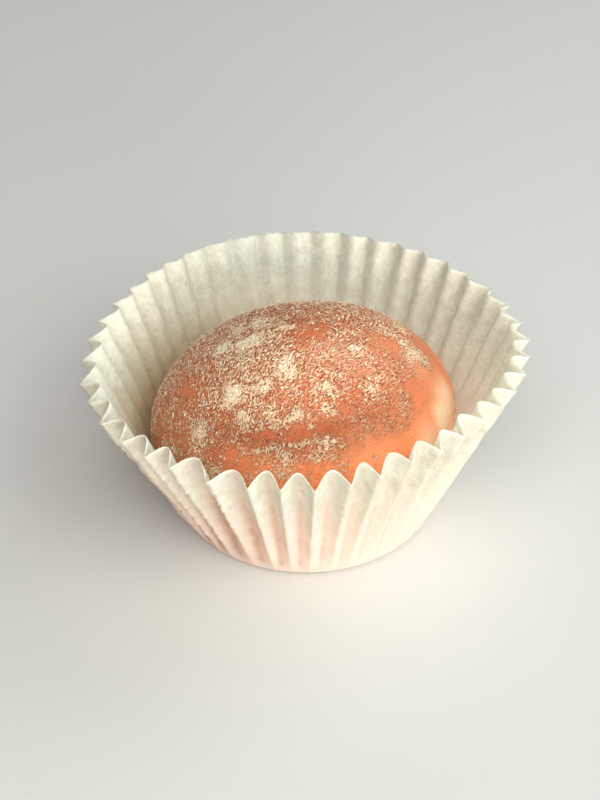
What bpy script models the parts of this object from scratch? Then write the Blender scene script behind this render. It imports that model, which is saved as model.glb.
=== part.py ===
"""A round mochi rice cake standing in its fluted paper case, at real size in metres, +Z up.

The origin is the centre of the case's flat underside. The front of the piece faces -Y.
"""

from math import cos, exp, pi, radians, sin

import bmesh
import bpy
from mathutils import Matrix, Vector, noise

MM = 0.001

# Paper case: a flat disc of paper pressed into 43 flutes round a flat base
BASE_RADIUS = 25.0 * MM
WALL_LENGTH = 38.65 * MM  # along the paper from the base's edge to the rim, the same in every fold
PAPER = 0.3 * MM
HEEL = 1.2 * MM  # how far the rounded heel reaches each way from the base's edge
FLUTES = 43
FIRST_FLUTE = radians(179.6)
OUTWARD_TILT = radians(25.2)  # of the sharp outward folds, away from upright
INWARD_TILT = radians(19.9)  # of the round inward folds

# Hand-pressed unevenness, as (waves round the case, cosine part, sine part) in degrees
TILT_WAVES = ((1, -0.5, -0.6), (2, -0.8, 2.0), (3, 0.9, -0.8), (4, 0.9, 0.6), (13, 0.2, 0.1), (19, -0.1, 0.2))
TURN_WAVES = ((2, -0.8, 0.5), (3, -0.2, -0.4), (4, 0.2, -0.1), (11, 0.1, -0.1), (17, -0.1, 0.1))
# Flutes pulled aside, as (direction, shift) in degrees
PULLS = ((238.0, -1.4), (253.0, 1.3), (288.0, -1.0))
PULL_WIDTH = 5.0
# At the back the wall has spread, where it leans out further and its flutes are shallower
SPREAD_TOWARDS = radians(110.0)
SPREAD_WIDTH = radians(47.0)
SPREAD_LEAN = radians(2.1)
SPREAD_SHALLOWER = 0.5

COLUMNS_PER_FLUTE = 6
# Rows of the case, as slant distances from the base's edge, negative on the flat base
ROWS = (-BASE_RADIUS, -HEEL, -0.4 * HEEL, 0.4 * HEEL, HEEL, 0.3 * WALL_LENGTH, 0.65 * WALL_LENGTH, WALL_LENGTH)

# Rice cake: a soft ball that has sagged under its own weight
CAKE_RADIUS = 28.7 * MM
CAKE_HALF_HEIGHT = 19.9 * MM
CAKE_FULLNESS = 1.9  # 2 is an ellipsoid, and less is slacker at the shoulders
CAKE_CENTRE = Vector((-0.6, -0.3, 19.3)) * MM
CAKE_OVAL = 0.03
CAKE_OVAL_TOWARDS = radians(27.0)
CAKE_LEAN = Matrix.Rotation(radians(-4.5), 3, "X") @ Matrix.Rotation(radians(-4.1), 3, "Y")
CAKE_LUMPS = 0.25 * MM
CAKE_LUMP_SIZE = 14.0 * MM
CAKE_SUBDIVISIONS = 5
CAKE_FLOOR = PAPER + 0.3 * MM  # just clear of the paper that carries it
SAG = 1.0 * MM  # height over which the side turns into the flat underside

# Folds in the skin at the front: a long soft crease, and the pinched dimple at its end
CREASE_LEFT = Vector((-10.5, -23.6, 28.9)) * MM
CREASE_RIGHT = Vector((3.6, -22.8, 31.2)) * MM
CREASE_WIDTH = 1.5 * MM
CREASE_DEPTH = 0.5 * MM
DIMPLE = Vector((4.3, -22.4, 31.1)) * MM
DIMPLE_WIDTH = 2.4 * MM
DIMPLE_DEPTH = 0.8 * MM

PAPER_LOOK = {"Base Color": (0.88, 0.84, 0.72, 1.0), "Roughness": 0.62, "Metallic": 0.0}
CAKE_LOOK = {"Base Color": (0.76, 0.27, 0.13, 1.0), "Roughness": 0.55, "Metallic": 0.0}


def clear_scene():
    for ob in list(bpy.data.objects):
        bpy.data.objects.remove(ob, do_unlink=True)


def make_material(name, look):
    material = bpy.data.materials.new(name)
    material.use_nodes = True
    shader = material.node_tree.nodes["Principled BSDF"]
    for socket, value in look.items():
        shader.inputs[socket].default_value = value
    return material


def make_object(name, bm, material, collection):
    mesh = bpy.data.meshes.new(name)
    bm.to_mesh(mesh)
    bm.free()
    mesh.materials.append(material)
    ob = bpy.data.objects.new(name, mesh)
    collection.objects.link(ob)
    return ob


def waves(terms, angle):
    """The sum of waves round the case at an angle, in radians."""
    return radians(sum(c * cos(n * angle) + s * sin(n * angle) for n, c, s in terms))


def bell(distance):
    return exp(-distance * distance)


def column_angle(turn):
    """Direction of a column of the case. turn counts flutes, and is whole on an outward fold."""
    angle = FIRST_FLUTE + 2 * pi * turn / FLUTES
    pulled = 0.0
    for direction, shift in PULLS:
        away = (angle - radians(direction) + pi) % (2 * pi) - pi
        pulled += radians(shift) * bell(away / radians(PULL_WIDTH))
    return angle + waves(TURN_WAVES, angle) + pulled


def fold(turn):
    """1 on an outward fold, which is sharp, and -1 on an inward fold, which is round."""
    return 1 - 2 * sin(pi * abs(turn - round(turn)))


def case_point(turn, slant):
    """A point of the case's outer face, slant away from the base's edge along the paper."""
    angle = column_angle(turn)
    spread = bell(((angle - SPREAD_TOWARDS + pi) % (2 * pi) - pi) / SPREAD_WIDTH)
    middle = (OUTWARD_TILT + INWARD_TILT) / 2 + SPREAD_LEAN * spread
    swing = (OUTWARD_TILT - INWARD_TILT) / 2 * (1 - SPREAD_SHALLOWER * spread)
    tilt = middle + swing * fold(turn) + waves(TILT_WAVES, angle)
    out, up = slant, 0.0
    if slant >= HEEL:
        out, up = slant * sin(tilt), slant * cos(tilt)
    elif slant > -HEEL:
        along = (slant + HEEL) / (2 * HEEL)
        out = -HEEL * (1 - along) ** 2 + HEEL * sin(tilt) * along**2
        up = HEEL * cos(tilt) * along**2
    reach = BASE_RADIUS + out
    return Vector((reach * cos(angle), reach * sin(angle), up))


def make_paper_case(collection):
    """A grid rolled round the axis, its first row drawn together into the middle of the base."""
    bm = bmesh.new()
    columns, bands = FLUTES * COLUMNS_PER_FLUTE, len(ROWS) - 1
    bmesh.ops.create_grid(bm, x_segments=columns, y_segments=bands, size=0.5)
    for vert in bm.verts:
        column = round((vert.co.x + 0.5) * columns)
        row = round((vert.co.y + 0.5) * bands)
        vert.co = case_point(column / COLUMNS_PER_FLUTE, ROWS[row])
    bmesh.ops.remove_doubles(bm, verts=bm.verts, dist=0.01 * MM)
    bmesh.ops.recalc_face_normals(bm, faces=bm.faces)
    lowest = min(bm.faces, key=lambda face: face.calc_center_median().z)
    if lowest.normal.z > 0:
        bmesh.ops.reverse_faces(bm, faces=bm.faces)
    ob = make_object("paper_case", bm, make_material("paper", PAPER_LOOK), collection)
    wall = ob.modifiers.new("wall", "SOLIDIFY")
    wall.thickness = PAPER
    wall.offset = -1.0
    wall.use_even_offset = True
    return ob


def settle(height):
    """The height of a point of the cake once it has sagged flat onto its underside."""
    above = height - CAKE_FLOOR
    if above >= SAG:
        return height
    return CAKE_FLOOR + max(above + SAG, 0.0) ** 2 / (4 * SAG)


def distance_to_crease(point):
    along = CREASE_RIGHT - CREASE_LEFT
    share = (point - CREASE_LEFT).dot(along) / along.length_squared
    return (point - CREASE_LEFT - along * min(max(share, 0.0), 1.0)).length


def cake_point(direction):
    """The surface point of the cake in a direction from its middle."""
    level = Vector((direction.x, direction.y, 0.0))
    power = 2 / CAKE_FULLNESS
    side = level.length**power
    heading = level.normalized() if level.length > 0 else level
    across = heading.angle(Vector((cos(CAKE_OVAL_TOWARDS), sin(CAKE_OVAL_TOWARDS), 0.0)), 0.0)
    radius = CAKE_RADIUS * (1 + CAKE_OVAL * cos(2 * across)) * side
    rise = abs(direction.z) ** power * (1 if direction.z > 0 else -1)
    point = CAKE_LEAN @ (heading * radius + Vector((0.0, 0.0, CAKE_HALF_HEIGHT * rise))) + CAKE_CENTRE
    inward = -direction.normalized()
    lump = 0.5 + noise.noise(point / CAKE_LUMP_SIZE)
    crease = CREASE_DEPTH * bell(distance_to_crease(point) / CREASE_WIDTH)
    dimple = DIMPLE_DEPTH * bell((point - DIMPLE).length / DIMPLE_WIDTH)
    point += inward * (CAKE_LUMPS * lump + crease + dimple)
    point.z = settle(point.z)
    return point


def make_mochi(collection):
    bm = bmesh.new()
    bmesh.ops.create_icosphere(bm, subdivisions=CAKE_SUBDIVISIONS, radius=1.0)
    for vert in bm.verts:
        vert.co = cake_point(vert.co)
    ob = make_object("mochi", bm, make_material("rice_cake", CAKE_LOOK), collection)
    ob.data.shade_smooth()
    return ob


def main():
    clear_scene()
    collection = bpy.data.collections.new("mochi_rice_cake")
    bpy.context.scene.collection.children.link(collection)
    case = make_paper_case(collection)
    case.data.shade_smooth()
    case.data.set_sharp_from_angle(angle=radians(40.0))
    make_mochi(collection)


main()
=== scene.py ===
"""Looks of a mochi rice cake, dusted with starch, in its fluted paper case. Metres, +Z up."""

from math import cos, pi, radians, sin

import bmesh
import bpy
import numpy as np
from mathutils import Matrix, Vector, noise


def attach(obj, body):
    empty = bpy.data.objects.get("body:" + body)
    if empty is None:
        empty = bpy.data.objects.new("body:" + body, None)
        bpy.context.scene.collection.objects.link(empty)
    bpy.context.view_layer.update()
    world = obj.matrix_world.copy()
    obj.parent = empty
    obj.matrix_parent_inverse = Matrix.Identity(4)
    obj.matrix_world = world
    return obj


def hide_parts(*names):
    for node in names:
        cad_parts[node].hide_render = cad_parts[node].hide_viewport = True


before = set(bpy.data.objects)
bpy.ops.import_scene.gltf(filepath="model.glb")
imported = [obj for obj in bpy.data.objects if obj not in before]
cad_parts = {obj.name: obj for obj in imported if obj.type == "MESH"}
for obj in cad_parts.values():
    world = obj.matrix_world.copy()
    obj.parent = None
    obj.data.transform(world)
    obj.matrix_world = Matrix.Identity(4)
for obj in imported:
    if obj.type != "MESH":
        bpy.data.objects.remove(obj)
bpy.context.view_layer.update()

MM = 0.001

# Camera, fitted to the photo; the angles are in degrees
CAMERA_PLACE = (0.0, -239.2 * MM, 198.5 * MM)
CAMERA_LENS = 69.8  # mm, for a frame whose longer side is 36 mm
CAMERA_DOWN = 36.41
CAMERA_TURN = 0.30
CAMERA_ROLL = 0.19

# Paper case, in the same sizes as the solid it replaces; tilts, waves and pulls are in degrees
BASE_RADIUS = 25.0 * MM
WALL_LENGTH = 38.65 * MM
PAPER = 0.10 * MM
HEEL = 1.2 * MM
FLUTES = 43
FIRST_FLUTE = radians(179.6)
OUTWARD_TILT = 25.2
INWARD_TILT = 19.9
TILT_WAVES = (
    (1, -0.5, -0.6), (2, -0.8, 2.0), (3, 0.9, -0.8),
    (4, 0.9, 0.6), (13, 0.2, 0.1), (19, -0.1, 0.2),
)
TURN_WAVES = (
    (2, -0.8, 0.5), (3, -0.2, -0.4), (4, 0.2, -0.1),
    (11, 0.1, -0.1), (17, -0.1, 0.1),
)
PULLS = ((238.0, -1.4), (253.0, 1.3), (288.0, -1.0))
PULL_WIDTH = radians(5.0)
SPREAD_TOWARDS = radians(110.0)
SPREAD_WIDTH = radians(47.0)
SPREAD_LEAN = 2.1
SPREAD_SHALLOWER = 0.5
COLUMNS_PER_FLUTE = 14
BASE_ROWS = 6
HEEL_ROWS = 6
WALL_ROWS = 60
# The sharp folds are rounded over this share of a flute, which shortens half a flute to this share
FOLD_ROUNDING = 0.02
FOLD_REACH = 0.4808
# The cut edge wanders: how far, and its waves as (amount, size in mm, seed)
RAGGED_EDGE = 0.14 * MM
EDGE_WAVES = ((1.0, 1.3, 5.0), (1.0, 4.0, 8.0))
# How far the paper is pushed out by wide buckles, narrow ones, and crinkles along the folds
WIDE_BUCKLES = 0.20 * MM
NARROW_BUCKLES = 0.07 * MM
CRINKLES = 0.06 * MM
# The folds are crinkled by this much more where the case has been squeezed, at the front left
CRINKLES_SQUEEZED = 0.42 * MM
CRINKLED_TOWARDS = radians(228.0)
CRINKLED_WIDTH = radians(38.0)
# Painted shadow: the outside is painted darkest brown just left of there
PAINTED_SHADOW_TOWARDS = radians(202.0)
PAINTED_SHADOW_WIDTH = radians(12.0)
# A painted shadow makes the inside darker and browner this close to the cake
SHADOW_REACH = 6 * MM

# Rice cake, in the same sizes as the solid it replaces
CAKE_RADIUS = 28.7 * MM
CAKE_HALF_HEIGHT = 19.9 * MM
CAKE_FULLNESS = 1.9
CAKE_CENTRE = np.array((-0.6, -0.3, 19.3)) * MM
CAKE_OVAL = 0.03
CAKE_OVAL_TOWARDS = radians(27.0)
CAKE_LEAN = Matrix.Rotation(radians(-4.5), 3, "X") @ Matrix.Rotation(radians(-4.1), 3, "Y")
CAKE_LUMPS = 0.25 * MM
CAKE_LUMP_SIZE = 14.0 * MM
CAKE_FLOOR = 0.6 * MM
SAG = 1.0 * MM
CREASE_LEFT = np.array((-10.5, -23.6, 28.9)) * MM
CREASE_RIGHT = np.array((3.6, -22.8, 31.2)) * MM
CREASE_WIDTH = 1.5 * MM
CREASE_DEPTH = 0.5 * MM
DIMPLE = np.array((4.3, -22.4, 31.1)) * MM
DIMPLE_WIDTH = 2.4 * MM
DIMPLE_DEPTH = 0.7 * MM
SKIN_LUMPS = ((0.10, 5.0, 1.0), (0.05, 1.8, 2.0))  # (depth in mm, size in mm, seed)
CAKE_SUBDIVISIONS = 7
WRINKLES = 19.0  # in a full turn round the dimple

# How thickly the starch lies, before the spots below: evenly, and its lumps as (amount, size in mm, seed)
EVEN_COVER = 0.485
COVER_LUMPS = ((0.12, 4.2, 2.0), (0.11, 1.9, 4.0), (0.11, 1.0, 6.0))
MOST_COVER = 1.5
# The edges of the spots are ragged, as (shift in mm, size in mm, seed), but not of the smallest spots
RAGGED_SPOTS = ((1.3, 2.2, 40.0), (0.6, 0.9, 50.0))
SMALL_SPOT = 0.9
SPOT_COVER = 0.74
# Where the starch lies thick on the cake: place in mm, radius in mm, how thick
THICK = (
    (-15.8, -1.4, 35.2, 1.8, 1.2), (-10.9, -2.6, 37.2, 1.6, 1.1), (-9.2, 3.2, 37.4, 1.4, 0.8),
    (-12.9, 3.0, 36.1, 1.2, 0.8), (-3.9, -11.2, 37.5, 2.3, 0.8), (-13.2, -14.5, 33.8, 2.2, 0.9),
    (-8.3, -14.0, 35.7, 1.8, 0.7), (3.7, -15.2, 36.0, 1.6, 0.7), (-1.8, -20.3, 33.3, 1.5, 0.65),
    (-4.8, -21.2, 32.4, 1.3, 0.6), (-10.9, -19.1, 32.1, 1.4, 0.6), (3.7, -19.0, 33.9, 0.95, 0.6),
    (21.2, -0.5, 32.7, 2.4, 0.9), (15.2, 3.0, 35.9, 1.2, 0.6), (9.2, -5.4, 37.7, 1.2, 0.6),
    (12.0, -13.4, 34.8, 1.6, 0.5), (-19.7, -17.9, 27.8, 2.0, 0.6), (-16.4, -23.7, 23.7, 1.6, 0.6),
    (-3.7, -25.4, 28.5, 1.5, 0.6), (1.9, -25.4, 28.2, 1.1, 0.5), (-4.1, -26.9, 26.1, 1.6, 0.6),
    (-4.1, -0.3, 38.8, 1.2, 0.6), (17.9, 6.8, 33.8, 1.5, 0.6), (19.4, -7.1, 33.2, 1.2, 0.4),
    (-4.0, -14.0, 36.3, 9.0, 0.08), (-13.0, -1.0, 36.4, 8.0, 0.18), (-6.8, -4.3, 38.3, 4.5, 0.14),
    (-9.0, -25.6, 27.0, 4.0, 0.14), (4.5, -26.0, 26.6, 4.0, 0.1), (3.7, -23.5, 30.2, 0.65, 1.5),
    (0.8, -21.7, 32.2, 0.6, 0.9), (-6.8, -19.0, 33.5, 1.3, 0.5), (19.8, -3.0, 33.5, 2.0, 0.6),
    (18.4, 1.0, 34.6, 2.0, 0.5), (12.3, -23.1, 26.6, 0.6, 1.3),
)
# Where it has rubbed off: place in mm, radius in mm, how much
RUBBED = (
    (-0.4, -1.8, 39.1, 3.4, 0.3), (13.0, -22.6, 26.4, 4.4, 0.4), (24.5, -9.5, 27.5, 6.5, 0.5),
    (-13.5, -23.9, 26.4, 3.0, 0.2), (4.2, -9.3, 37.9, 3.0, 0.15), (-21.5, -9.0, 30.5, 3.0, 0.25),
    (-3.7, -16.6, 35.4, 1.5, 0.2), (15.0, -2.0, 36.0, 2.5, 0.25), (-3.0, -19.8, 33.6, 4.5, 0.12),
    (-13.5, -23.0, 27.5, 4.0, 0.1), (6.7, -18.6, 33.6, 4.5, 0.06), (5.5, -21.2, 32.3, 2.6, 0.2),
)
# Where it has soaked into a smooth pale film, and along the right edge a painted highlight: place in mm,
# radius in mm, how much
FILM_AND_HIGHLIGHT = (
    (27.0, -5.5, 26.0, 4.8, 0.85), (26.3, -10.5, 23.0, 4.8, 0.85), (23.0, -15.5, 23.5, 4.5, 0.7),
    (27.5, -8.0, 20.0, 5.0, 0.9), (5.5, -7.5, 38.2, 5.0, 0.25), (12.0, -6.0, 36.5, 7.0, 0.1),
    (13.0, -22.5, 26.0, 7.0, 0.1), (25.6, -9.6, 25.6, 3.6, 1.15), (22.6, -15.8, 24.8, 3.0, 0.9),
    (20.3, -3.0, 33.2, 3.5, 0.25), (8.8, -7.5, 37.4, 5.5, 0.22),
)
# Where the skin is deeper in colour, partly where it is stretched and partly painted shade, round the crease
# and the dimple and at the front: place in mm, radius in mm, how much
DEEP_AND_SHADED = (
    (-3.0, -22.3, 31.2, 5.0, 0.5), (3.4, -21.6, 32.2, 3.2, 0.55), (-13.5, -23.5, 26.5, 5.0, 0.4),
    (8.6, -16.0, 34.6, 6.0, 0.4), (15.6, -7.7, 35.2, 5.5, 0.3),
)
# Above the crease the skin is stretched smooth, and starch has caught along its lower lip
SMOOTH_BAND = (np.array((-8.4, -22.5, 30.5)) * MM, np.array((2.8, -22.0, 31.9)) * MM)
BAND_WIDTH = 1.15 * MM
LOWER_LIP = (np.array((-11.0, -24.0, 28.0)) * MM, np.array((0.8, -23.6, 30.4)) * MM)
LIP_WIDTH = 0.45 * MM

DRIFT = radians(54.0)  # the grains lie in streaks along this direction
LOWEST_STARCH = 6 * MM
GRAINS = 24000
GRAIN_SIZE = (0.145 * MM, 0.08 * MM, 0.07 * MM)  # half its length, half its width, its height
GRAIN_SPREAD = 0.35
GRAIN_TURN = 0.25  # how far a grain turns away from the streaks, in radians
CLUMPS = 260
CLUMP_SIZE = (0.12, 0.30)  # mm, least and most
CLUMP_SHAPE = ((0.9, 1.5), (0.7, 1.0), (0.25, 0.45))  # least and most length, width and height
CLUMP_ROUGHNESS = 0.45
# The largest clump, below the dimple, is made of this much larger clumps on every few of the nearest points
CAKED = np.array((3.7, -23.5, 30.2)) * MM
CAKED_LARGER = 1.5
CAKED_POINTS = 40
CAKED_EVERY = 6

# Colours, linear; a pair is two tones that a pattern mixes
PAPER_TONES = ((0.83, 0.82, 0.735, 1.0), (0.91, 0.91, 0.83, 1.0))
PAPER_MOTTLE = (0.93, 0.925, 0.91, 1.0)
# painted glow of the cake's orange light on the low paper
PAPER_PAINTED_GLOW = (0.97, 0.88, 0.79, 1.0)
PAPER_FIBRES = (0.90, 0.88, 0.86, 1.0)
# painted shade for the creases and the outer left side
CREASE_PAINTED_SHADE = (0.76, 0.56, 0.44, 1.0)
# painted shadow of the cake on the inside of the paper
CAKE_PAINTED_SHADOW = (0.80, 0.69, 0.53, 1.0)
SKIN_TONES = ((0.53, 0.128, 0.036, 1.0), (0.63, 0.175, 0.056, 1.0))
# painted light on the right side of the skin
SKIN_PAINTED_LIGHT_RIGHT = (0.72, 0.215, 0.080, 1.0)
SKIN_LEFT = (0.76, 0.225, 0.085, 1.0)
# painted light low down at the front of the skin
SKIN_PAINTED_LIGHT_LOW = (0.93, 0.27, 0.095, 1.0)
# pale film of soaked starch, and painted highlight along the right edge
SKIN_FILM_AND_HIGHLIGHT = (0.97, 0.66, 0.43, 1.0)
# deeper skin, partly painted shade
SKIN_DEEP_AND_SHADE = (0.36, 0.080, 0.030, 1.0)
# painted shade in the pits between the grains
SKIN_PIT_SHADE = (0.16, 0.045, 0.020, 1.0)
DUST_TONES = ((0.74, 0.45, 0.28, 1.0), (0.70, 0.50, 0.29, 1.0))
THICK_TONES = ((0.51, 0.45, 0.33, 1.0), (0.68, 0.63, 0.48, 1.0))
STARCH_TONES = ((0.64, 0.46, 0.30, 1.0), (0.72, 0.62, 0.46, 1.0))
FLOOR_GREY = (0.52, 0.52, 0.51, 1.0)
WORLD_COLOUR = (1.0, 0.88, 0.66, 1.0)
WORLD_STRENGTH = 0.02

# Soft lamps: name, direction and height in degrees, width and height in m, power in W, colour
LAMPS = (
    ("key", 300.0, 45.0, (1.0, 0.9), 9.8, (0.93, 1.0, 0.92)),
    ("key right", 335.0, 35.0, (0.8, 0.8), 5.5, (0.97, 1.0, 0.85)),
    ("front", 287.0, 8.0, (0.7, 0.32), 14.0, (1.0, 0.88, 0.82)),
    ("front right", 318.0, 7.0, (0.6, 0.28), 9.6, (0.76, 0.92, 1.0)),
    ("left above", 250.0, 50.0, (0.6, 0.8), 7.2, (1.0, 0.92, 0.90)),
    ("right", 35.0, 35.0, (0.8, 0.8), 5.8, (0.90, 0.95, 1.0)),
)
LAMP_DISTANCE = 1.2

# Floor, in metres: flat out to a bend, and then a plain wall all round
FLOOR_FLAT = 2.0
FLOOR_BEND = 1.0
WALL_TOP = 3.0
FLOOR_SIDES = 64
BEND_STEPS = 9

rng = np.random.default_rng(7)


def bell(distance):
    """1 at no distance, fading smoothly to 0 at a distance of about 2."""
    return np.exp(-distance * distance)


def step(value, low, high):
    """0 up to low and 1 from high on, with a smooth rise between them."""
    share = np.clip((value - low) / (high - low), 0.0, 1.0)
    return share * share * (3 - 2 * share)


def unit(vectors):
    return vectors / np.maximum(np.linalg.norm(vectors, axis=-1, keepdims=True), 1e-12)


def facing(angle, towards, width):
    """1 in one direction round the axis, fading over this width to each side of it."""
    return bell(((angle - towards + pi) % (2 * pi) - pi) / width)


def lumps(points, size, seed=0.0):
    """Smooth noise from -1 to 1 at each point, with lumps of about this size."""
    shift = Vector((seed, 1.7 * seed, -0.6 * seed))
    return np.array([noise.noise(Vector(p) + shift) for p in (points / size).tolist()])


def layered_lumps(points, layers):
    """A sum of lumps; each layer is an amount, a size in mm and a seed."""
    return sum(amount * lumps(points, size * MM, seed) for amount, size, seed in layers)


def distance_to_line(points, start, end):
    along = end - start
    share = np.clip((points - start) @ along / (along @ along), 0.0, 1.0)
    return np.linalg.norm(points - start - share[:, None] * along, axis=1)


# Mesh helpers

def make_object(name, verts, faces, material, smooth=True):
    mesh = bpy.data.meshes.new(name)
    mesh.from_pydata(np.asarray(verts).tolist(), [], [tuple(face) for face in faces])
    mesh.update()
    mesh.materials.append(material)
    if smooth:
        mesh.shade_smooth()
    ob = bpy.data.objects.new(name, mesh)
    bpy.context.scene.collection.objects.link(ob)
    return ob


def ride(ob, slot, *nodes):
    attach(ob, "root")
    if nodes:
        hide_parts(*nodes)


def give_values(ob, name, values):
    """Puts one number per vertex on a mesh, for its material."""
    attribute = ob.data.attributes.new(name, "FLOAT", "POINT")
    attribute.data.foreach_set("value", np.asarray(values, dtype=np.float32))


def rolled_faces(rows, columns):
    """Four-cornered faces of a grid that is rolled round, so that its last column meets its first."""
    faces = []
    for row in range(rows - 1):
        for column in range(columns):
            a, b = row * columns + column, row * columns + (column + 1) % columns
            faces.append((a, b, b + columns, a + columns))
    return faces


def ball_mesh(subdivisions):
    """The points and three-cornered faces of a ball of radius 1."""
    bm = bmesh.new()
    bmesh.ops.create_icosphere(bm, subdivisions=subdivisions, radius=1.0)
    points = np.array([v.co for v in bm.verts])
    faces = np.array([[v.index for v in f.verts] for f in bm.faces])
    bm.free()
    return points, faces


def repeated(faces, copies, points_each):
    """The faces of a small mesh, for many copies of its points one after the other."""
    return (np.arange(copies)[:, None, None] * points_each + faces).reshape(-1, 3)


# Node helpers

def feed(tree, socket, value):
    if isinstance(value, bpy.types.NodeSocket):
        tree.links.new(value, socket)
    else:
        socket.default_value = value


def feed_named(tree, node, values):
    """Sets or links inputs of a node by name, with _ for a space."""
    for key, value in values.items():
        feed(tree, node.inputs[key.replace("_", " ")], value)


def new_material(name, **values):
    """A new material, its tree and its shader; values are inputs of the shader."""
    material = bpy.data.materials.new(name)
    material.use_nodes = True
    tree = material.node_tree
    shader = tree.nodes["Principled BSDF"]
    feed_named(tree, shader, values)
    return material, tree, shader


def add(tree, kind, **values):
    """A new node of this kind; values are its properties or its inputs."""
    node = tree.nodes.new(kind)
    inputs = {}
    for key, value in values.items():
        if hasattr(node, key):
            setattr(node, key, value)
        else:
            inputs[key] = value
    feed_named(tree, node, inputs)
    return node


def blend(tree, share, a, b, mode="MIX"):
    node = add(tree, "ShaderNodeMix", data_type="RGBA", blend_type=mode)
    for socket, value in zip((node.inputs[0], node.inputs[6], node.inputs[7]), (share, a, b)):
        feed(tree, socket, value)
    return node.outputs[2]


def ramp(tree, value, low, high, to_low=0.0, to_high=1.0):
    """A value that goes smoothly from to_low to to_high while the one fed in goes from low to high."""
    node = add(
        tree, "ShaderNodeMapRange", interpolation_type="SMOOTHSTEP",
        Value=value, From_Min=low, From_Max=high, To_Min=to_low, To_Max=to_high,
    )
    return node.outputs[0]


def maths(tree, operation, a, b=0.0):
    node = add(tree, "ShaderNodeMath", operation=operation)
    for socket, value in zip(node.inputs, (a, b)):
        feed(tree, socket, value)
    return node.outputs[0]


def times(tree, first, *others):
    for other in others:
        first = maths(tree, "MULTIPLY", first, other)
    return first


def vector_maths(tree, operation, *vectors):
    node = add(tree, "ShaderNodeVectorMath", operation=operation)
    for socket, value in zip(node.inputs, vectors):
        feed(tree, socket, value)
    return node


def place(tree, scale=(1.0, 1.0, 1.0), turn=0.0):
    """Object coordinates in mm, turned about Z and then stretched."""
    coordinates = add(tree, "ShaderNodeTexCoord").outputs["Object"]
    turned = add(
        tree, "ShaderNodeMapping", vector_type="TEXTURE", Vector=coordinates, Rotation=(0.0, 0.0, turn)
    ).outputs[0]
    return add(tree, "ShaderNodeMapping", Vector=turned, Scale=[s / MM for s in scale]).outputs[0]


def axes(tree, vector):
    """The X, Y and Z parts of a vector."""
    return add(tree, "ShaderNodeSeparateXYZ", Vector=vector).outputs


def speckle(tree, vector, size, detail=2.0, roughness=0.5):
    """Noise round 0.5 with lumps of about this many mm."""
    node = add(
        tree, "ShaderNodeTexNoise", Vector=vector, Scale=1.0 / size, Detail=detail, Roughness=roughness
    )
    return node.outputs[0]


def bump(tree, height, depth, normal=None):
    """A normal tilted by a height map of this many mm."""
    node = add(tree, "ShaderNodeBump", Height=height, Distance=depth * MM, Strength=1.0)
    if normal:
        feed(tree, node.inputs["Normal"], normal)
    return node.outputs[0]


def value_of(tree, name):
    return add(tree, "ShaderNodeAttribute", attribute_name=name).outputs["Fac"]


# Camera

def make_camera():
    data = bpy.data.cameras.new("camera")
    data.sensor_width = 36.0
    data.lens = CAMERA_LENS
    camera = bpy.data.objects.new("camera", data)
    turn = Matrix.Rotation(radians(CAMERA_TURN), 4, "Z")
    tilt = Matrix.Rotation(radians(90.0 - CAMERA_DOWN), 4, "X")
    roll = Matrix.Rotation(radians(CAMERA_ROLL), 4, "Z")
    camera.matrix_world = Matrix.Translation(CAMERA_PLACE) @ turn @ tilt @ roll
    bpy.context.scene.collection.objects.link(camera)
    bpy.context.scene.camera = camera


# Paper case. turn counts flutes, whole on an outward fold, and slant is along the paper from the base's edge

def waves(terms, angle):
    return sum(c * np.cos(n * angle) + s * np.sin(n * angle) for n, c, s in terms)


def column_angle(turn):
    angle = FIRST_FLUTE + 2 * pi * turn / FLUTES
    pulled = sum(shift * facing(angle, radians(direction), PULL_WIDTH) for direction, shift in PULLS)
    return angle + np.radians(waves(TURN_WAVES, angle) + pulled)


def from_outward_fold(turn):
    """How far a column is from the nearest outward fold, in flutes."""
    return np.abs(turn - np.round(turn))


def fold(turn):
    """1 on a sharp outward fold and -1 on a round inward fold."""
    away = from_outward_fold(turn)
    softened = np.sqrt(away**2 + FOLD_ROUNDING**2) - FOLD_ROUNDING
    return 1 - 2 * np.sin(pi / 2 * softened / FOLD_REACH)


def case_points(turn, slant):
    angle = column_angle(turn)
    spread = facing(angle, SPREAD_TOWARDS, SPREAD_WIDTH)
    middle = (OUTWARD_TILT + INWARD_TILT) / 2 + SPREAD_LEAN * spread
    swing = (OUTWARD_TILT - INWARD_TILT) / 2 * (1 - SPREAD_SHALLOWER * spread)
    tilt = np.radians(middle + swing * fold(turn) + waves(TILT_WAVES, angle))
    along = np.clip((slant + HEEL) / (2 * HEEL), 0.0, 1.0)
    out_at_heel = -HEEL * (1 - along) ** 2 + HEEL * np.sin(tilt) * along**2
    out = np.where(slant >= HEEL, slant * np.sin(tilt), np.where(slant > -HEEL, out_at_heel, slant))
    up = np.where(slant >= HEEL, slant * np.cos(tilt), HEEL * np.cos(tilt) * along**2)
    reach = BASE_RADIUS + out
    return np.stack([reach * np.cos(angle), reach * np.sin(angle), up], axis=-1)


def paper_lumps(across, slant, layer, size, seed):
    """Lumps on the paper laid out flat; layer is a height that picks another slice of the noise."""
    flat = np.stack([across, slant, np.full_like(slant, layer)], axis=-1)
    return lumps(flat.reshape(-1, 3), size, seed).reshape(slant.shape)


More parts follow.
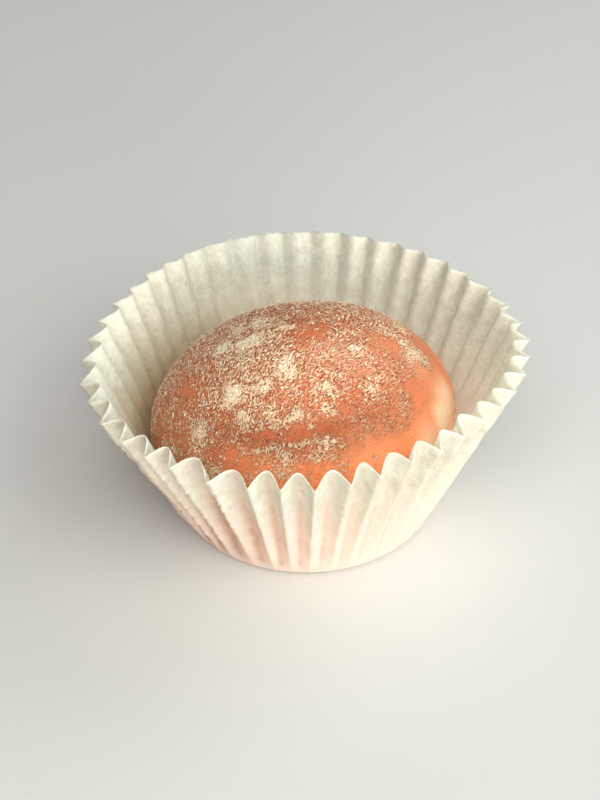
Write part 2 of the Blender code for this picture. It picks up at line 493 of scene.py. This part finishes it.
def crumple(turn, slant):
    """How far the paper is pushed out of its clean folds: soft buckles, and crinkled fold lines."""
    across = turn * 2 * pi * (BASE_RADIUS + 0.4 * slant) / FLUTES
    layer = 10 * MM
    wide = WIDE_BUCKLES * paper_lumps(across, slant, layer, 7.0 * MM, 3.0)
    narrow = NARROW_BUCKLES * paper_lumps(across, 0.55 * slant, layer, 1.7 * MM, 9.0)
    squeezed = facing(column_angle(turn), CRINKLED_TOWARDS, CRINKLED_WIDTH)
    crinkle = (CRINKLES + CRINKLES_SQUEEZED * squeezed) * bell(from_outward_fold(turn) / 0.14)
    crinkle *= paper_lumps(0.35 * across, slant, layer, 0.95 * MM, 21.0)
    crinkle *= step(slant, 4 * MM, 9 * MM) * (1 - step(slant, 33 * MM, 37 * MM))
    return step(slant, HEEL, 6 * MM) * (wide + narrow + crinkle)


def painted_crease_shade(turn, slant):
    """How much painted shade darkens the creases of the inward folds, most where the case was squeezed, with
    a painted shadow on the outside just left of there.
    """
    away = 0.5 - from_outward_fold(turn)
    flute, layer = np.round(turn) * 3 * MM, 20 * MM
    uneven = 0.85 + 0.5 * paper_lumps(flute, slant, layer, 3.0 * MM, 13.0)
    uneven += 0.35 * paper_lumps(flute, slant, layer, 0.9 * MM, 15.0)
    angle = column_angle(turn)
    squeezed = facing(angle, CRINKLED_TOWARDS, CRINKLED_WIDTH)
    # painted shade along the inward creases
    creased = bell(away / (0.10 + 0.10 * squeezed)) * (0.35 + 0.9 * squeezed)
    creased *= step(slant, 1 * MM, 5 * MM) * (1 - 0.75 * step(slant, 18 * MM, 36 * MM))
    # painted shadow on the outside, just left of where the case was squeezed
    shadowed = facing(angle, PAINTED_SHADOW_TOWARDS, PAINTED_SHADOW_WIDTH) * (0.35 + 0.65 * bell(away / 0.22))
    shadowed *= step(slant, 1 * MM, 8 * MM) * (1 - step(slant, 30 * MM, 37 * MM))
    return uneven * (creased + 1.1 * shadowed)


def cake_shadow(points):
    """How close the paper comes to the cake, on the left and at the back, where a painted shadow darkens the
    inside.
    """
    local = (points - CAKE_CENTRE) @ np.array(CAKE_LEAN)
    beside = np.hypot(local[:, 0], local[:, 1]) / CAKE_RADIUS
    outside = np.hypot(beside, local[:, 2] / CAKE_HALF_HEIGHT)
    gap = np.linalg.norm(local, axis=1) * (1 - 1 / np.maximum(outside, 1.0))
    return bell(gap / SHADOW_REACH) * step(points[:, 0], 4 * MM, -12 * MM)


def make_paper_case(material):
    columns = FLUTES * COLUMNS_PER_FLUTE
    base = np.linspace(-BASE_RADIUS, -HEEL, BASE_ROWS + 1)[1:]
    heel = np.linspace(-HEEL, HEEL, HEEL_ROWS + 1)[1:]
    wall = np.linspace(HEEL, WALL_LENGTH, WALL_ROWS + 1)[1:]
    rows = np.concatenate([base, heel, wall])
    turn, slant = np.meshgrid(np.arange(columns) / COLUMNS_PER_FLUTE, rows)
    slant[-1] += RAGGED_EDGE * layered_lumps(case_points(turn[-1], slant[-1]), EDGE_WAVES)
    points = case_points(turn, slant)
    across = np.roll(points, -1, axis=1) - np.roll(points, 1, axis=1)
    outward = unit(np.cross(across, np.gradient(points, axis=0)))
    points = points + outward * crumple(turn, slant)[..., None]
    points = np.vstack([points.reshape(-1, 3), [[0.0, 0.0, 0.0]]])
    middle = len(points) - 1
    faces = [(middle, (column + 1) % columns, column) for column in range(columns)]
    faces += rolled_faces(len(rows), columns)
    ob = make_object("paper_case_fine", points, faces, material)
    give_values(ob, "crease", np.append(painted_crease_shade(turn, slant), 0.0))
    give_values(ob, "cake_shadow", cake_shadow(points))
    wall = ob.modifiers.new("paper", "SOLIDIFY")
    wall.thickness = PAPER
    wall.offset = -1.0
    wall.use_even_offset = True
    ride(ob, "paper", "paper_case")


def paper_material():
    material, tree, shader = new_material("paper", Roughness=0.6)
    cloudy = speckle(tree, place(tree), 2.2, detail=4.0, roughness=0.6)
    fibres = speckle(tree, place(tree, (1.0, 0.35, 0.35), turn=0.6), 0.35, detail=3.0)
    mottled = speckle(tree, place(tree), 0.8, roughness=0.6)
    colour = blend(tree, ramp(tree, cloudy, 0.3, 0.7), *PAPER_TONES)
    colour = blend(tree, ramp(tree, mottled, 0.62, 0.38), colour, PAPER_MOTTLE, "MULTIPLY")
    # painted glow: the paper is rosier low down, standing in for the cake's orange light bouncing onto it
    # and shining through it
    height = axes(tree, place(tree))["Z"]
    colour = blend(tree, ramp(tree, height, 30.0, 6.0), colour, PAPER_PAINTED_GLOW)
    colour = blend(tree, ramp(tree, fibres, 0.3, 0.75, 0.0, 0.5), colour, PAPER_FIBRES, "MULTIPLY")
    # painted shade in the creases is on the outside, and a painted shadow near the cake on the inside
    sideways = vector_maths(tree, "MULTIPLY", place(tree), (1.0, 1.0, 0.0)).outputs[0]
    normal = add(tree, "ShaderNodeTexCoord").outputs["Normal"]
    outward = vector_maths(tree, "DOT_PRODUCT", sideways, normal).outputs["Value"]
    crease_shade = times(tree, value_of(tree, "crease"), ramp(tree, outward, 0.0, 4.0))
    colour = blend(tree, crease_shade, colour, CREASE_PAINTED_SHADE)
    # painted shadow of the cake, on the inside only
    inside = times(tree, value_of(tree, "cake_shadow"), ramp(tree, outward, 0.0, -4.0))
    colour = blend(tree, inside, colour, CAKE_PAINTED_SHADOW, "MULTIPLY")
    rough = bump(tree, fibres, 0.05, bump(tree, cloudy, 0.25))
    feed_named(tree, shader, {"Base_Color": colour, "Normal": rough})
    # light glows through the paper
    glow = add(tree, "ShaderNodeBsdfTranslucent", Color=colour, Normal=rough)
    both = add(tree, "ShaderNodeMixShader", Fac=0.62)
    feed(tree, both.inputs[1], shader.outputs[0])
    feed(tree, both.inputs[2], glow.outputs[0])
    feed(tree, tree.nodes["Material Output"].inputs["Surface"], both.outputs[0])
    return material


# Rice cake

def settle(height):
    """The height of a point of the cake once it has sagged flat onto its underside."""
    above = height - CAKE_FLOOR
    return np.where(above >= SAG, height, CAKE_FLOOR + np.maximum(above + SAG, 0.0) ** 2 / (4 * SAG))


def cake_form(directions):
    """The smooth form of the cake, in each direction from its middle."""
    power = 2 / CAKE_FULLNESS
    level = np.hypot(directions[:, 0], directions[:, 1])
    heading = np.arctan2(directions[:, 1], directions[:, 0])
    radius = CAKE_RADIUS * (1 + CAKE_OVAL * np.cos(2 * (heading - CAKE_OVAL_TOWARDS))) * level**power
    rise = np.abs(directions[:, 2]) ** power * np.sign(directions[:, 2])
    upright = np.stack([radius * np.cos(heading), radius * np.sin(heading), CAKE_HALF_HEIGHT * rise], axis=1)
    return upright @ np.array(CAKE_LEAN).T + CAKE_CENTRE


def ragged_places(points):
    """The points in mm, shifted unevenly, so that a spot measured from them has a ragged edge."""
    places = points / MM
    for shift, size, seed in RAGGED_SPOTS:
        places = places + shift * np.stack([lumps(points, size * MM, seed + k) for k in range(3)], axis=1)
    return places


def starch_cover(points):
    """How thickly the starch lies at each point of the cake."""
    places, ragged = points / MM, ragged_places(points)
    x, y, z = places.T
    # it is thinner towards the right, and low down at the front
    cover = EVEN_COVER - 0.06 * step(x, 4.0, 14.0) - 0.26 * step(x, 17.0, 23.0)
    cover -= 0.14 * step(z, 31.0, 26.0) * step(x, -18.0, -8.0) * step(y, -2.0, -12.0)
    cover += layered_lumps(points, COVER_LUMPS)
    for *middle, radius, amount in THICK:
        far = np.linalg.norm((ragged if radius > SMALL_SPOT else places) - middle, axis=1) / radius
        cover += SPOT_COVER * amount * bell(far**1.5)
    for *middle, radius, amount in RUBBED:
        cover -= amount * bell(np.linalg.norm(ragged - middle, axis=1) / radius)
    caught = bell(distance_to_line(points, *LOWER_LIP) / LIP_WIDTH)
    cover += 0.6 * caught * (0.7 + 0.8 * lumps(points, 1.2 * MM, 31.0))
    cover -= 0.5 * bell(distance_to_line(ragged * MM, *SMOOTH_BAND) / BAND_WIDTH)
    return np.clip(cover, 0.0, MOST_COVER)


def cover_of(spots, points):
    """The thickest of some soft-edged round spots at each point."""
    cover = np.zeros(len(points))
    for *middle, radius, amount in spots:
        far = np.linalg.norm(points / MM - middle, axis=1) / radius
        cover = np.maximum(cover, amount * bell(far**1.5))
    return cover * (0.9 + 0.35 * lumps(points, 3.0 * MM, 17.0))


def make_cake(material):
    """The cake, and its points, faces and cover of starch, for what lies on it."""
    directions, faces = ball_mesh(CAKE_SUBDIVISIONS)
    points = cake_form(directions)
    sink = CAKE_LUMPS * (0.5 + lumps(points, CAKE_LUMP_SIZE))
    sink += CREASE_DEPTH * bell(distance_to_line(points, CREASE_LEFT, CREASE_RIGHT) / CREASE_WIDTH)
    sink += DIMPLE_DEPTH * bell(np.linalg.norm(points - DIMPLE, axis=1) / DIMPLE_WIDTH)
    sink += MM * layered_lumps(points, SKIN_LUMPS)
    points = points - directions * sink[:, None]
    points[:, 2] = settle(points[:, 2])
    cover = starch_cover(points)
    ob = make_object("rice_cake", points, faces, material)
    give_values(ob, "starch", cover)
    give_values(ob, "film_and_highlight", cover_of(FILM_AND_HIGHLIGHT, points))
    give_values(ob, "deep_and_shade", cover_of(DEEP_AND_SHADED, points))
    ride(ob, "rice_cake", "mochi")
    return points, faces, cover


def fan_of_wrinkles(tree):
    """Fine wrinkles gathered into the dimple, fading out a few mm from it."""
    away = vector_maths(tree, "SUBTRACT", place(tree), DIMPLE / MM).outputs[0]
    parts = axes(tree, away)
    rise = maths(tree, "ADD", times(tree, parts["Y"], 0.7), times(tree, parts["Z"], 0.7))
    angle = maths(tree, "ARCTAN2", rise, parts["X"])
    wobble = times(tree, speckle(tree, place(tree), 1.2), 3.0)
    fan = maths(tree, "SINE", maths(tree, "ADD", times(tree, angle, WRINKLES), wobble))
    far = vector_maths(tree, "LENGTH", away).outputs["Value"]
    near = times(tree, ramp(tree, far, 0.4, 1.4), ramp(tree, far, 4.5, 1.8))
    return times(tree, fan, near, 0.5)


def skin_colour(tree, across, height):
    """The skin between the starch, with painted light towards the right side and low down at the front, and
    paler towards the left.
    """
    tone = speckle(tree, place(tree), 5.0, detail=3.0, roughness=0.6)
    skin = blend(tree, ramp(tree, tone, 0.3, 0.7), *SKIN_TONES)
    # painted light, paler towards the right side
    skin = blend(tree, ramp(tree, across, 9.0, 22.0, 0.0, 0.7), skin, SKIN_PAINTED_LIGHT_RIGHT)
    skin = blend(tree, ramp(tree, across, -15.0, -23.0, 0.0, 0.6), skin, SKIN_LEFT)
    # painted light low down at the front
    low = times(tree, ramp(tree, height, 30.0, 26.5, 0.0, 0.9), ramp(tree, across, -19.0, -13.0))
    skin = blend(tree, low, skin, SKIN_PAINTED_LIGHT_LOW)
    # a smooth pale film, and a painted highlight along the right edge
    skin = blend(tree, value_of(tree, "film_and_highlight"), skin, SKIN_FILM_AND_HIGHLIGHT)
    # deeper colour, partly painted shade
    return blend(tree, value_of(tree, "deep_and_shade"), skin, SKIN_DEEP_AND_SHADE)


def dust_colour(tree, across, starch):
    """The starch, cooler and paler where it lies thick."""
    tint = ramp(tree, speckle(tree, place(tree), 1.6), 0.35, 0.65)
    dust = blend(tree, tint, *DUST_TONES)
    thick = blend(tree, ramp(tree, across, -6.0, -13.0), *THICK_TONES)
    return blend(tree, ramp(tree, starch, 0.85, 1.2), dust, thick)


def cake_material():
    material, tree, shader = new_material(
        "rice_cake", Subsurface_Weight=0.3, Subsurface_Radius=(1.0, 0.4, 0.2), Subsurface_Scale=3.0 * MM
    )
    starch = value_of(tree, "starch")
    parts = axes(tree, place(tree))
    across, height = parts["X"], parts["Z"]
    grain = speckle(tree, place(tree, (0.34, 1.0, 0.9), DRIFT), 0.27, roughness=0.6)
    coarse = speckle(tree, place(tree, (0.6, 1.0, 0.8), DRIFT), 1.0, roughness=0.6)
    # painted shade: the pits between the grains are darker, where there are grains
    skin = skin_colour(tree, across, height)
    pit_shade = times(tree, ramp(tree, grain, 0.49, 0.39), ramp(tree, starch, 0.1, 0.4))
    skin = blend(tree, times(tree, pit_shade, ramp(tree, height, 25.0, 30.0, 0.4, 0.85)), skin, SKIN_PIT_SHADE)
    # the dust shows where the cover beats the grain of the skin
    grained = times(tree, maths(tree, "SUBTRACT", grain, 0.5), 2.9)
    patched = times(tree, maths(tree, "SUBTRACT", coarse, 0.5), 1.1)
    dusted = ramp(tree, maths(tree, "ADD", starch, maths(tree, "ADD", grained, patched)), 0.52, 0.80)
    colour = blend(tree, times(tree, dusted, 0.9), skin, dust_colour(tree, across, starch))
    rough = bump(tree, fan_of_wrinkles(tree), 0.06, bump(tree, dusted, 0.12, bump(tree, grain, 0.38)))
    dull = ramp(tree, dusted, 0.0, 1.0, 0.48, 0.85)
    feed_named(tree, shader, {"Base_Color": colour, "Roughness": dull, "Normal": rough})
    return material


# Starch

def spots_on(points, faces, cover, count, least, most):
    """Places on the cake, thickest where the cover is, with the outward direction at each."""
    corners = points[faces]
    normals = np.cross(corners[:, 1] - corners[:, 0], corners[:, 2] - corners[:, 0])
    weight = np.linalg.norm(normals, axis=1) * step(cover[faces].mean(axis=1), least, most)
    weight *= corners[:, :, 2].mean(axis=1) > LOWEST_STARCH
    chosen = rng.choice(len(faces), size=count, p=weight / weight.sum())
    u, v = rng.random((2, count))
    over = u + v > 1
    u, v = np.where(over, 1 - u, u), np.where(over, 1 - v, v)
    a, b, c = corners[chosen].transpose(1, 0, 2)
    return a + u[:, None] * (b - a) + v[:, None] * (c - a), unit(normals[chosen])


def make_grains(material, points, faces, cover):
    """Loose grains, each a flattened irregular lump of eight faces."""
    spots, up = spots_on(points, faces, cover, GRAINS, 0.15, 1.1)
    line = np.array((cos(DRIFT), sin(DRIFT), 0.0))
    streak = unit(line - (up @ line)[:, None] * up)
    across = np.cross(up, streak)
    turn = rng.normal(0.0, GRAIN_TURN, GRAINS)[:, None]
    along = streak * np.cos(turn) + across * np.sin(turn)
    beside = across * np.cos(turn) - streak * np.sin(turn)
    scale = np.exp(rng.normal(0.0, GRAIN_SPREAD, GRAINS))
    length, width, height = (size * scale for size in GRAIN_SIZE)
    jitter = rng.uniform(0.7, 1.25, (6, GRAINS))
    ways = (along, beside, -along, -beside, up, -0.5 * up)
    reaches = (length, width, length, width, height, height)
    corners = [
        spots + way * (reach * uneven)[:, None] for way, reach, uneven in zip(ways, reaches, jitter)
    ]
    verts = np.stack(corners, axis=1).reshape(-1, 3)
    tops = [(side, (side + 1) % 4, 4) for side in range(4)]
    bottoms = [((side + 1) % 4, side, 5) for side in range(4)]
    grain_faces = repeated(np.array(tops + bottoms), GRAINS, len(corners))
    ride(make_object("starch_grains", verts, grain_faces, material, smooth=False), "starch")


def make_clumps(material, points, faces, cover):
    """Clumps, where the starch has caked, and the few that make the largest one, below the dimple."""
    spots, up = spots_on(points, faces, cover, CLUMPS, 0.75, 1.3)
    nearest = np.argsort(np.linalg.norm(points - CAKED, axis=1))
    caked = points[nearest[:CAKED_POINTS:CAKED_EVERY]]
    spots, up = np.vstack([caked, spots]), np.vstack([unit(caked - CAKE_CENTRE), up])
    ball, ball_faces = ball_mesh(2)
    verts = []
    for number, (spot, normal) in enumerate(zip(spots, up)):
        along = unit(np.cross(normal, rng.normal(size=3)))
        beside = np.cross(normal, along)
        size = MM * rng.uniform(*CLUMP_SIZE) * (CAKED_LARGER if number < len(caked) else 1.0)
        rough = 1 + CLUMP_ROUGHNESS * lumps(ball * MM, 0.8 * MM, rng.uniform(0, 50))[:, None]
        sizes = size * np.array([rng.uniform(*span) for span in CLUMP_SHAPE])
        verts.append(spot + (ball * rough * sizes) @ np.stack([along, beside, normal]))
    clump_faces = repeated(ball_faces, len(spots), len(ball))
    ride(make_object("starch_clumps", np.vstack(verts), clump_faces, material), "starch")


def starch_material():
    material, tree, shader = new_material("starch", Roughness=0.9)
    tint = ramp(tree, speckle(tree, place(tree), 0.8), 0.35, 0.65)
    feed_named(tree, shader, {"Base_Color": blend(tree, tint, *STARCH_TONES)})
    return material


# Stage

def make_stage():
    """A flat floor that curves up into a plain wall all round."""
    material = new_material("floor", Base_Color=FLOOR_GREY, Roughness=0.9)[0]
    bend = [
        (FLOOR_FLAT + FLOOR_BEND * sin(a), FLOOR_BEND - FLOOR_BEND * cos(a))
        for a in np.linspace(0.0, pi / 2, BEND_STEPS)
    ]
    profile = [(0.5, 0.0), *bend, (FLOOR_FLAT + FLOOR_BEND, WALL_TOP)]
    around = [2 * pi * side / FLOOR_SIDES for side in range(FLOOR_SIDES)]
    verts = [(r * cos(a), r * sin(a), z) for r, z in profile for a in around]
    faces = [tuple(range(FLOOR_SIDES))]
    faces += [face[::-1] for face in rolled_faces(len(profile), FLOOR_SIDES)]
    make_object("floor", verts, faces, material)


def make_lamp(name, direction, height, size, power, colour):
    """A soft lamp that faces the origin."""
    data = bpy.data.lights.new(name, "AREA")
    data.shape = "RECTANGLE"
    data.size, data.size_y = size
    data.energy = power
    data.color = colour
    lamp = bpy.data.objects.new(name, data)
    a, e = radians(direction), radians(height)
    lamp.location = Vector((cos(e) * cos(a), cos(e) * sin(a), sin(e))) * LAMP_DISTANCE
    lamp.rotation_euler = lamp.location.to_track_quat("Z", "Y").to_euler()
    bpy.context.scene.collection.objects.link(lamp)


def make_world():
    world = bpy.data.worlds.new("studio")
    world.use_nodes = True
    background = world.node_tree.nodes["Background"]
    background.inputs["Color"].default_value = WORLD_COLOUR
    background.inputs["Strength"].default_value = WORLD_STRENGTH
    bpy.context.scene.world = world
    bpy.context.scene.view_settings.view_transform = "Standard"


make_camera()
make_paper_case(paper_material())
cake_points, cake_faces, cake_cover = make_cake(cake_material())
powder = starch_material()
make_grains(powder, cake_points, cake_faces, cake_cover)
make_clumps(powder, cake_points, cake_faces, cake_cover)
make_stage()
for lamp in LAMPS:
    make_lamp(*lamp)
make_world()
